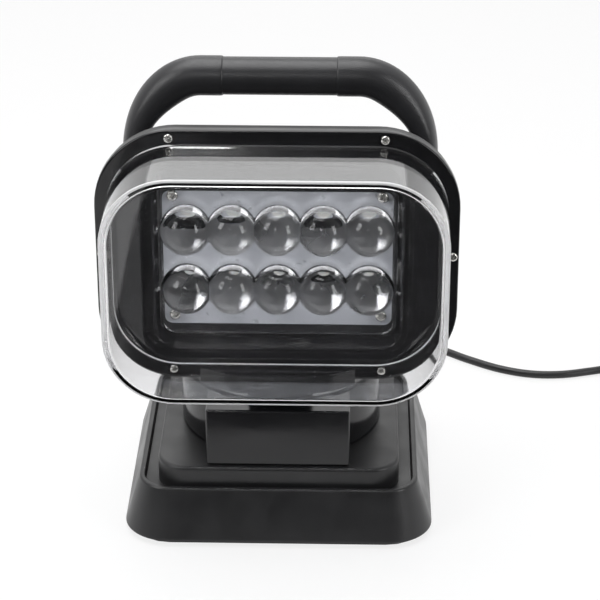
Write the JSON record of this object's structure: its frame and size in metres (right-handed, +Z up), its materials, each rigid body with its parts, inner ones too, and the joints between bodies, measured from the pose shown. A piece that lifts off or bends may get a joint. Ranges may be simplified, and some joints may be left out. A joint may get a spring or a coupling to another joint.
{
  "type": "marine searchlight",
  "caption": "Motor-driven marine searchlight: a tilting lamp head with a clear box cover and carrying handle on a panning turret and a square base, with a supply cord.",
  "frame": {"origin": "on the pan axis, at the underside of the base's rubber pad", "axes": "+Z up along the pan axis, the lamp faces -Y, +X to the right as seen from in front"},
  "size_m": [0.3658, 0.2554, 0.2388],
  "materials": {
    "satin_black": "satin moulded",
    "gloss_black": "glossy moulded",
    "grip_black": "fine-textured satin",
    "cord_black": "smooth",
    "rubber": "matt",
    "clear_cover": "clear polycarbonate, polished",
    "clear_lens": "clear moulded lens, polished",
    "reflector": "satin silver",
    "aluminium": "extruded",
    "steel": "plated",
    "screw_steel": "bright plated",
    "nylon": "smooth moulded",
    "board": "lacquered circuit board"
  },
  "bodies": {
    "base": {"base_housing": "satin_black", "deck": "satin_black", "base_plate": "steel", "rubber_pad": "rubber", "magnet": "steel", "control_board": "board", "pan_motor": "steel", "pan_bush": "nylon", "cable_gland": "rubber", "power_cord": "cord_black", "cord_coil": "cord_black", "cord_tail": "cord_black", "plug_body": "gloss_black", "plug_tip": "steel", "plug_contact_left": "steel", "plug_contact_right": "steel", "base_screw_1": "steel", "base_screw_2": "steel", "base_screw_3": "steel", "base_screw_4": "steel"},
    "pan_pinion": {"pan_pinion": "steel"},
    "turret": {"turret_housing": "gloss_black", "pan_shaft": "steel", "pan_nut": "steel", "pan_gear": "nylon", "tilt_axle": "steel", "tilt_gear": "nylon", "axle_spacer_left": "steel", "axle_spacer_right": "steel"},
    "tilt_pinion": {"tilt_pinion": "steel"},
    "head": {"front_frame": "gloss_black", "gasket": "rubber", "clear_cover": "clear_cover", "rear_shell": "satin_black", "lens_array": "clear_lens", "led_board": "reflector", "heat_sink": "aluminium", "tilt_bracket_left": "steel", "tilt_bracket_right": "steel", "tilt_bush_left": "nylon", "tilt_bush_right": "nylon", "tilt_motor": "steel", "handle": "grip_black", "handle_screw_left": "steel", "handle_screw_right": "steel", "cover_screw_1": "screw_steel", "cover_screw_2": "screw_steel", "cover_screw_3": "screw_steel", "cover_screw_4": "screw_steel", "cover_screw_5": "screw_steel", "cover_screw_6": "screw_steel", "lens_screw_1": "screw_steel", "lens_screw_2": "screw_steel", "lens_screw_3": "screw_steel", "lens_screw_4": "screw_steel"}
  },
  "joints": [
    {"name": "pan", "type": "hinge", "parent": "base", "child": "turret", "pos_m": [0, 0, 0.04], "axis": [0, 0, 1], "range_deg": [-170, 170]},
    {"name": "pan_pinion_spin", "type": "hinge", "parent": "base", "child": "pan_pinion", "pos_m": [0.03625, 0, 0.031], "axis": [0, 0, 1], "range_deg": [-540, 540]},
    {"name": "tilt", "type": "hinge", "parent": "turret", "child": "head", "pos_m": [0, 0, 0.154], "axis": [-1, 0, 0], "range_deg": [-10, 90]},
    {"name": "tilt_pinion_spin", "type": "hinge", "parent": "head", "child": "tilt_pinion", "pos_m": [0.0198, 0, 0.18025], "axis": [-1, 0, 0], "range_deg": [-25, 185]}
  ],
  "couplings": [
    {"joint": "pan_pinion_spin", "follows": "pan", "ratio": -3.1429},
    {"joint": "tilt_pinion_spin", "follows": "tilt", "ratio": 2}
  ]
}
